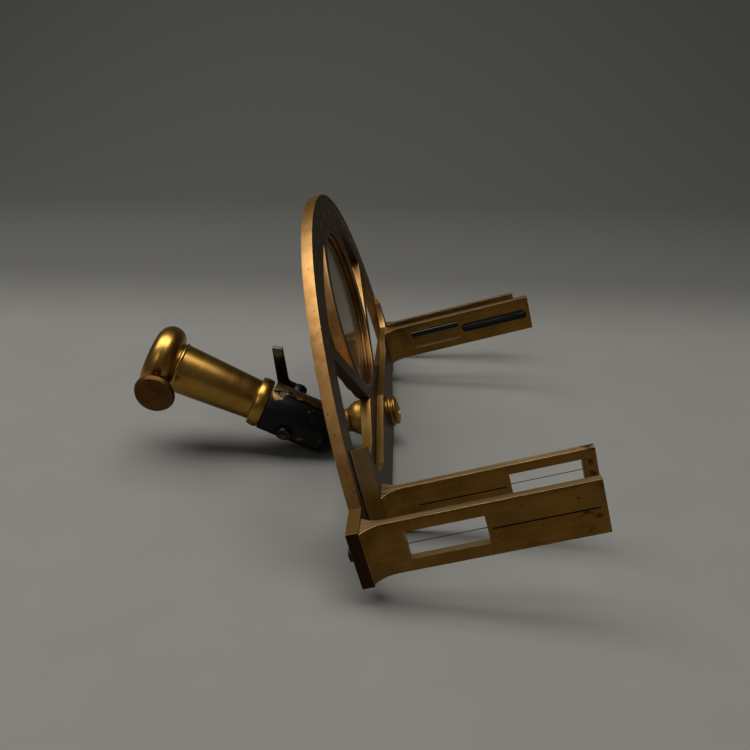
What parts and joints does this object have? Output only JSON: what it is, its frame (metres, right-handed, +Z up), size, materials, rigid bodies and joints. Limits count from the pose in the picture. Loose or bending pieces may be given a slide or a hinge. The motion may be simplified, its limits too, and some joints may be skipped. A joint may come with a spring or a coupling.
{
  "type": "graphometer",
  "caption": "Half-circle surveying graphometer lying on its edge, with fixed and turning slit sights, a sunk compass and a ball joint on a staff sleeve.",
  "frame": {"origin": "middle of the object's footprint on the floor", "axes": "+Z up, +Y along the limb's diameter towards the far fixed sight, +X to the front, the way the sights point"},
  "size_m": [0.2006, 0.2464, 0.1193],
  "materials": {
    "aged_brass": "worn satin",
    "browned_brass": "dark patina",
    "black_iron": "blackened, semi-gloss",
    "steel": "polished",
    "silvered_brass": "silvered, matt",
    "glass": "clear",
    "hair": "fine"
  },
  "bodies": {
    "frame": {"limb_plate": "browned_brass", "fixed_vane_near": "aged_brass", "fixed_vane_far": "aged_brass", "fixed_vane_screws": "black_iron", "fixed_sight_hairs": "hair", "pivot_stud": "steel", "pivot_washer": "aged_brass", "pivot_nut": "aged_brass", "compass_box": "aged_brass", "compass_dial": "silvered_brass", "needle_pivot": "steel", "compass_glass": "glass", "glass_ring": "aged_brass", "compass_screws": "black_iron", "joint_flange": "aged_brass", "flange_screws": "black_iron", "neck_screw": "steel"},
    "alidade": {"alidade_bar": "browned_brass", "alidade_vane_near": "aged_brass", "alidade_vane_far": "aged_brass", "alidade_vane_screws": "black_iron", "alidade_sight_hairs": "hair"},
    "needle": {"compass_needle": "steel", "needle_cap": "aged_brass"},
    "ball": {"ball": "black_iron"},
    "head": {"socket_shell": "black_iron", "jaw_hinge_pin": "steel", "clamp_screw": "black_iron", "sleeve_collar": "aged_brass", "staff_sleeve": "aged_brass"},
    "jaw": {"socket_jaw": "black_iron"},
    "clamp": {"clamp_lever": "black_iron"},
    "staff_screw": {"staff_screw": "aged_brass"}
  },
  "joints": [
    {"name": "alidade_turn", "type": "hinge", "parent": "frame", "child": "alidade", "pos_m": [0.01438, 0.00002, 0.01599], "axis": [0.9615, 0.0079, 0.2745], "range_deg": [-6.2, 173.8]},
    {"name": "needle_turn", "type": "hinge", "parent": "frame", "child": "needle", "pos_m": [-0.00812, 0.00148, 0.0667], "axis": [0.9615, 0.0079, 0.2745], "continuous": true},
    {"name": "ball_swivel", "type": "hinge", "parent": "frame", "child": "ball", "pos_m": [-0.01695, -0.0104, 0.01202], "axis": [0.9615, 0.0079, 0.2745], "continuous": true},
    {"name": "head_tilt", "type": "hinge", "parent": "ball", "child": "head", "pos_m": [-0.01695, -0.0104, 0.01202], "axis": [0.02, -0.999, -0.0412], "range_deg": [-1, 80]},
    {"name": "jaw_open", "type": "hinge", "parent": "head", "child": "jaw", "pos_m": [-0.03788, -0.01121, 0.02152], "axis": [0.391, -0.4048, 0.8266], "range_deg": [0, 3]},
    {"name": "clamp_turn", "type": "hinge", "parent": "head", "child": "clamp", "pos_m": [-0.02926, 0.00093, 0.02339], "axis": [0.1382, 0.9137, 0.3821], "range_deg": [0, 60]},
    {"name": "staff_screw_turn", "type": "hinge", "parent": "head", "child": "staff_screw", "pos_m": [-0.08613, -0.03779, 0.03957], "axis": [-0.0265, -0.9894, -0.1426], "continuous": true}
  ],
  "couplings": [
    {"joint": "jaw_open", "follows": "clamp_turn", "ratio": 0.05}
  ]
}
